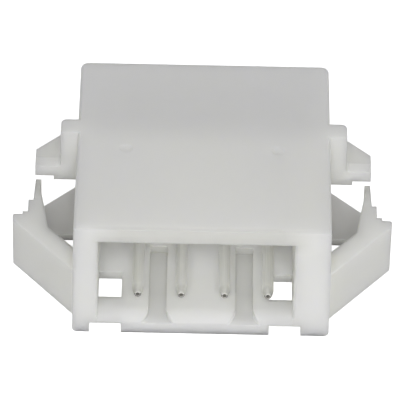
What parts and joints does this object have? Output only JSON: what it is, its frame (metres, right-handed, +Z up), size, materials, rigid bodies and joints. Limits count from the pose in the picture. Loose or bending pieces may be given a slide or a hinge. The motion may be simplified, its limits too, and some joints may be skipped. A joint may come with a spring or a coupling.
{
  "type": "panel mount wire connector housing",
  "caption": "Milky nylon connector housing with crimp pins in a keyed open socket, flange ears and swept-back side latch arms that clip it into a panel cut-out.",
  "frame": {"origin": "middle of the underside, at the middle of the overall width and length", "axes": "+X along the row of pins, -Y out of the socket's mouth, +Z up from the underside to the plain top face"},
  "size_m": [0.022, 0.0152, 0.0078],
  "materials": {
    "nylon": "satin, milky and slightly translucent",
    "tin_plate": "satin tin plate over brass strip"
  },
  "bodies": {
    "root": {"housing": "nylon", "contact_1": "tin_plate", "contact_2": "tin_plate", "contact_3": "tin_plate", "contact_4": "tin_plate"}
  },
  "joints": []
}
